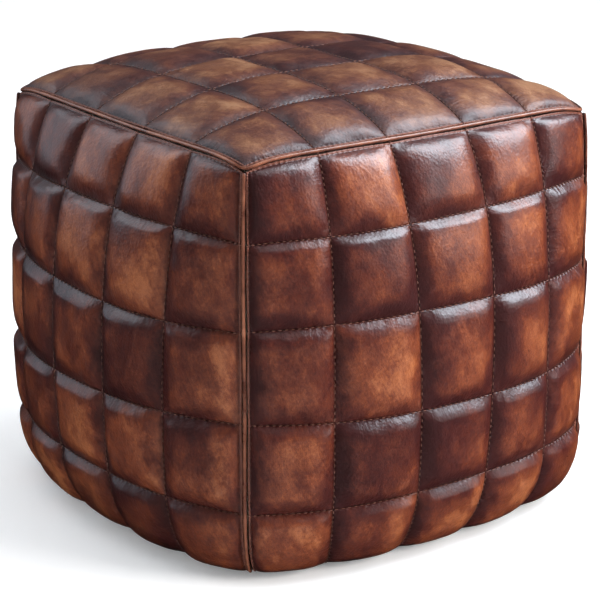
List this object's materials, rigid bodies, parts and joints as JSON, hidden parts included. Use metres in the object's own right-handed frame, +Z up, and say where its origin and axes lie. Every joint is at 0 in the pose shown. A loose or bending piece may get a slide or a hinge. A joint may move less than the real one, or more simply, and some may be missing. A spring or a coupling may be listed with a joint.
{
  "type": "moroccan leather pouf",
  "caption": "Stuffed cube pouf of sewn square leather patches with piped edges and a flat zipped base, used as a low seat or footrest.",
  "frame": {"origin": "middle of the base, on the floor", "axes": "+Z up out of the top; the front panel faces -Y and the right panel faces +X; the zip in the base runs along X"},
  "size_m": [0.5282, 0.5282, 0.4423],
  "materials": {
    "patch_leather": "antiqued two-tone brown, waxed gloss",
    "piping_leather": "dark brown, glossy",
    "piping_cord": "twisted cotton cord",
    "thread": "waxed brown thread",
    "backing_cotton": "plain woven cotton",
    "padding_fibre": "loose fibre wadding",
    "bag_cotton": "plain woven cotton",
    "filling_fibre": "packed loose fibre",
    "base_cloth": "matt black upholstery cloth",
    "zip_tape": "woven black tape",
    "zip_metal": "dull antique brass",
    "slider_metal": "dull antique brass"
  },
  "bodies": {
    "pouf": {"top_patch_row_1": "patch_leather", "top_patch_row_2": "patch_leather", "top_patch_row_3": "patch_leather", "top_patch_row_4": "patch_leather", "top_patch_row_5": "patch_leather", "front_patch_row_1": "patch_leather", "front_patch_row_2": "patch_leather", "front_patch_row_3": "patch_leather", "front_patch_row_4": "patch_leather", "front_patch_row_5": "patch_leather", "right_patch_row_1": "patch_leather", "right_patch_row_2": "patch_leather", "right_patch_row_3": "patch_leather", "right_patch_row_4": "patch_leather", "right_patch_row_5": "patch_leather", "rear_patch_row_1": "patch_leather", "rear_patch_row_2": "patch_leather", "rear_patch_row_3": "patch_leather", "rear_patch_row_4": "patch_leather", "rear_patch_row_5": "patch_leather", "left_patch_row_1": "patch_leather", "left_patch_row_2": "patch_leather", "left_patch_row_3": "patch_leather", "left_patch_row_4": "patch_leather", "left_patch_row_5": "patch_leather", "top_padding": "padding_fibre", "top_backing": "backing_cotton", "top_seam_thread": "thread", "front_padding": "padding_fibre", "front_backing": "backing_cotton", "front_seam_thread": "thread", "right_padding": "padding_fibre", "right_backing": "backing_cotton", "right_seam_thread": "thread", "rear_padding": "padding_fibre", "rear_backing": "backing_cotton", "rear_seam_thread": "thread", "left_padding": "padding_fibre", "left_backing": "backing_cotton", "left_seam_thread": "thread", "top_welt": "piping_leather", "top_welt_cord": "piping_cord", "front_left_welt": "piping_leather", "front_right_welt": "piping_leather", "rear_right_welt": "piping_leather", "rear_left_welt": "piping_leather", "corner_welt_cords": "piping_cord", "inner_bag": "bag_cotton", "filling": "filling_fibre", "base_front": "base_cloth", "base_rear": "base_cloth", "zip_tape_front": "zip_tape", "zip_tape_rear": "zip_tape", "zip_teeth_front": "zip_metal", "zip_teeth_rear": "zip_metal", "zip_stops": "zip_metal"},
    "zip_slider": {"zip_slider": "slider_metal"},
    "zip_pull": {"zip_pull": "slider_metal"}
  },
  "joints": [
    {"name": "zip_slide", "type": "slide", "parent": "pouf", "child": "zip_slider", "axis": [-1, 0, 0], "range_m": [0, 0.344]},
    {"name": "pull_hinge", "type": "hinge", "parent": "zip_slider", "child": "zip_pull", "pos_m": [0.172, 0, 0.00195], "axis": [0, 1, 0], "range_deg": [0, 180]}
  ]
}
